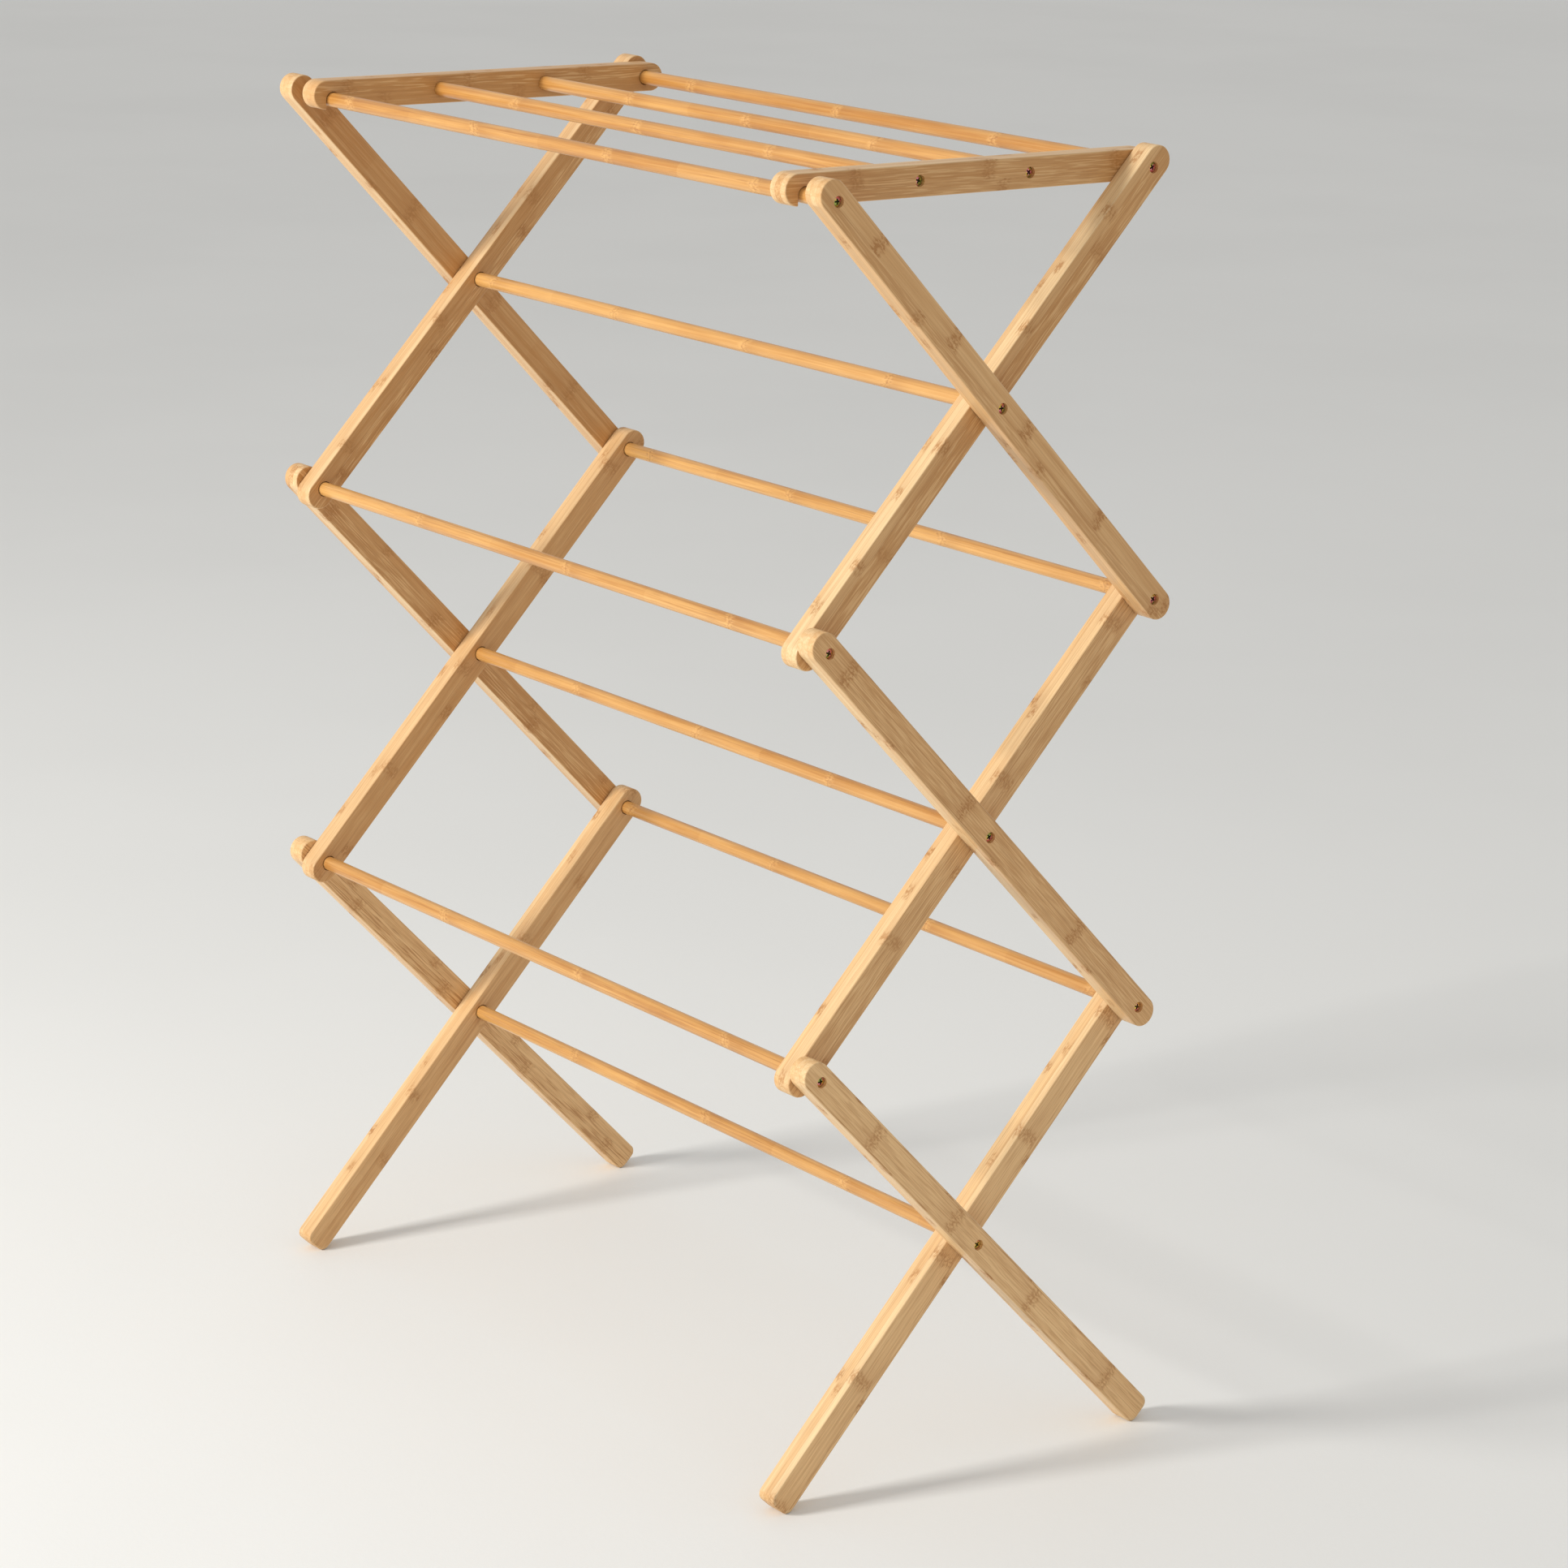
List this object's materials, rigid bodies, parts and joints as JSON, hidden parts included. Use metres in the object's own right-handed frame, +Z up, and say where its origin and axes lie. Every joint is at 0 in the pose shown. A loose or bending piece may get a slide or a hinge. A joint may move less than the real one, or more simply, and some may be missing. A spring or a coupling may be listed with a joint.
{
  "type": "folding clothes drying rack",
  "caption": "Free-standing bamboo rack of crossed bars in stacked tiers with round hanging rods; hooked top rails lock it open and it folds flat.",
  "frame": {"origin": "on the floor, in the middle of the rack", "axes": "+X to the right along the rods, -Y towards the front where the rails hook, +Z up"},
  "size_m": [0.74, 0.3668, 1.0387],
  "materials": {
    "bamboo_bar": "satin lacquered bamboo",
    "bamboo_rod": "satin lacquered bamboo",
    "yellow_zinc_steel": "yellow zinc plated"
  },
  "bodies": {
    "lower_axle": {"lower_crossing_rod": "bamboo_rod", "lower_crossing_screws": "yellow_zinc_steel"},
    "outer_legs": {"left_lower_outer_leg": "bamboo_bar", "right_lower_outer_leg": "bamboo_bar", "lower_front_joint_rod": "bamboo_rod", "lower_leg_screws": "yellow_zinc_steel"},
    "inner_legs": {"left_lower_inner_leg": "bamboo_bar", "right_lower_inner_leg": "bamboo_bar"},
    "middle_inner_frame": {"left_middle_inner_bar": "bamboo_bar", "right_middle_inner_bar": "bamboo_bar"},
    "middle_outer_frame": {"left_middle_outer_bar": "bamboo_bar", "right_middle_outer_bar": "bamboo_bar", "upper_front_joint_rod": "bamboo_rod", "middle_crossing_rod": "bamboo_rod", "lower_back_joint_rod": "bamboo_rod", "middle_frame_screws": "yellow_zinc_steel"},
    "upper_inner_frame": {"left_upper_inner_bar": "bamboo_bar", "right_upper_inner_bar": "bamboo_bar"},
    "upper_outer_frame": {"left_upper_outer_bar": "bamboo_bar", "right_upper_outer_bar": "bamboo_bar", "top_front_rod": "bamboo_rod", "upper_crossing_rod": "bamboo_rod", "upper_back_joint_rod": "bamboo_rod", "upper_frame_screws": "yellow_zinc_steel"},
    "back_spindle": {"top_back_rod": "bamboo_rod", "top_back_rod_screws": "yellow_zinc_steel"},
    "top_rails": {"left_top_rail": "bamboo_bar", "right_top_rail": "bamboo_bar", "top_middle_front_rod": "bamboo_rod", "top_middle_back_rod": "bamboo_rod", "top_rail_screws": "yellow_zinc_steel"}
  },
  "joints": [
    {"name": "fold", "type": "hinge", "parent": "lower_axle", "child": "outer_legs", "pos_m": [0, 0, 0.1911], "axis": [-1, 0, 0], "range_deg": [0, 40]},
    {"name": "inner_legs_fold", "type": "hinge", "parent": "lower_axle", "child": "inner_legs", "pos_m": [0, 0, 0.1911], "axis": [1, 0, 0], "range_deg": [0, 40]},
    {"name": "middle_inner_fold", "type": "hinge", "parent": "outer_legs", "child": "middle_inner_frame", "pos_m": [0, -0.159, 0.35729], "axis": [1, 0, 0], "range_deg": [0, 80]},
    {"name": "middle_outer_fold", "type": "hinge", "parent": "middle_inner_frame", "child": "middle_outer_frame", "pos_m": [0, 0, 0.52348], "axis": [-1, 0, 0], "range_deg": [0, 80]},
    {"name": "upper_inner_fold", "type": "hinge", "parent": "middle_outer_frame", "child": "upper_inner_frame", "pos_m": [0, -0.159, 0.68967], "axis": [1, 0, 0], "range_deg": [0, 80]},
    {"name": "upper_outer_fold", "type": "hinge", "parent": "upper_inner_frame", "child": "upper_outer_frame", "pos_m": [0, 0, 0.85586], "axis": [-1, 0, 0], "range_deg": [0, 80]},
    {"name": "rails_swing", "type": "hinge", "parent": "upper_inner_frame", "child": "back_spindle", "pos_m": [0, 0.159, 1.02205], "axis": [-1, 0, 0], "range_deg": [0, 130]},
    {"name": "rails_lift", "type": "hinge", "parent": "back_spindle", "child": "top_rails", "pos_m": [0, 0.159, 1.02205], "axis": [-1, 0, 0], "range_deg": [0, 176]}
  ],
  "couplings": [
    {"joint": "inner_legs_fold", "follows": "fold", "ratio": 1},
    {"joint": "middle_inner_fold", "follows": "fold", "ratio": 2},
    {"joint": "middle_outer_fold", "follows": "fold", "ratio": 2},
    {"joint": "upper_inner_fold", "follows": "fold", "ratio": 2},
    {"joint": "upper_outer_fold", "follows": "fold", "ratio": 2},
    {"joint": "rails_swing", "follows": "fold", "ratio": 3.25}
  ]
}
